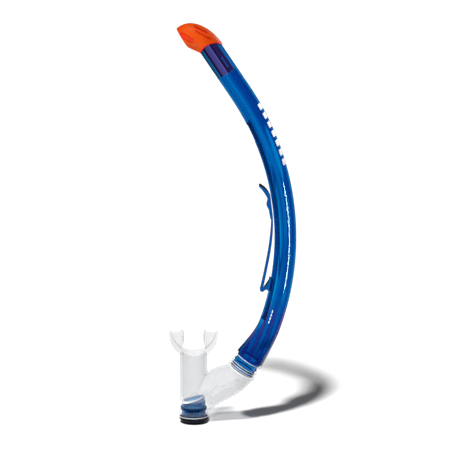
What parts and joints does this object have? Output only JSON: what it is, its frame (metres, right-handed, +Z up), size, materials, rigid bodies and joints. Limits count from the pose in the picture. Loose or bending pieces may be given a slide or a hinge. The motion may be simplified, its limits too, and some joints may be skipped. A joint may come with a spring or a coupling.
{
  "type": "snorkel tube",
  "caption": "Curved clear snorkel tube with an angled splash hood, mask strap clip, soft mouthpiece and bottom purge valve.",
  "frame": {"origin": "centre of the purge cover's flat bottom face", "axes": "+Z up along the mouthpiece and purge axis, +X towards the bulge of the bent barrel, the barrel bends in the XZ plane"},
  "size_m": [0.1325, 0.0312, 0.4272],
  "materials": {
    "barrel_blue": "clear blue polycarbonate, polished",
    "hood_orange": "moulded, glossy",
    "plug_violet": "moulded, satin",
    "baffle_orange": "moulded, glossy",
    "clip_blue": "clear blue, polished",
    "clip_arm_blue": "clear blue, polished",
    "clear_silicone": "clear silicone, satin",
    "purge_blue": "clear blue, polished",
    "valve_silicone": "soft silicone, satin",
    "cover_black": "moulded, semi-gloss"
  },
  "bodies": {
    "tube": {"barrel": "barrel_blue", "splash_hood": "hood_orange", "hood_plug": "plug_violet", "splash_baffle": "baffle_orange"},
    "strap clip carriage": {"clip_carriage": "clip_blue"},
    "strap clip arm": {"clip_arm": "clip_arm_blue"},
    "mouthpiece": {"silicone_mouthpiece": "clear_silicone", "purge_housing": "purge_blue", "purge_cover": "cover_black"},
    "purge valve": {"purge_diaphragm": "valve_silicone"}
  },
  "joints": [
    {"name": "clip_travel", "type": "hinge", "parent": "tube", "child": "strap clip carriage", "pos_m": [-0.186, 0, 0.199], "axis": [0, -1, 0], "range_deg": [-5.6, 31.5]},
    {"name": "clip_flex", "type": "hinge", "parent": "strap clip carriage", "child": "strap clip arm", "pos_m": [0.07086, 0, 0.14393], "axis": [0, -1, 0], "range_deg": [0, 7], "stiffness_Nm_per_rad": 2},
    {"name": "mouthpiece_swivel", "type": "hinge", "parent": "tube", "child": "mouthpiece", "pos_m": [0.059, 0, 0.0698], "axis": [-0.5446, 0, -0.8387], "range_deg": [-90, 90]},
    {"name": "purge_lift", "type": "slide", "parent": "mouthpiece", "child": "purge valve", "axis": [0, 0, -1], "range_m": [0, 0.0012], "stiffness_N_per_m": 20, "springref_m": -0.0006}
  ]
}
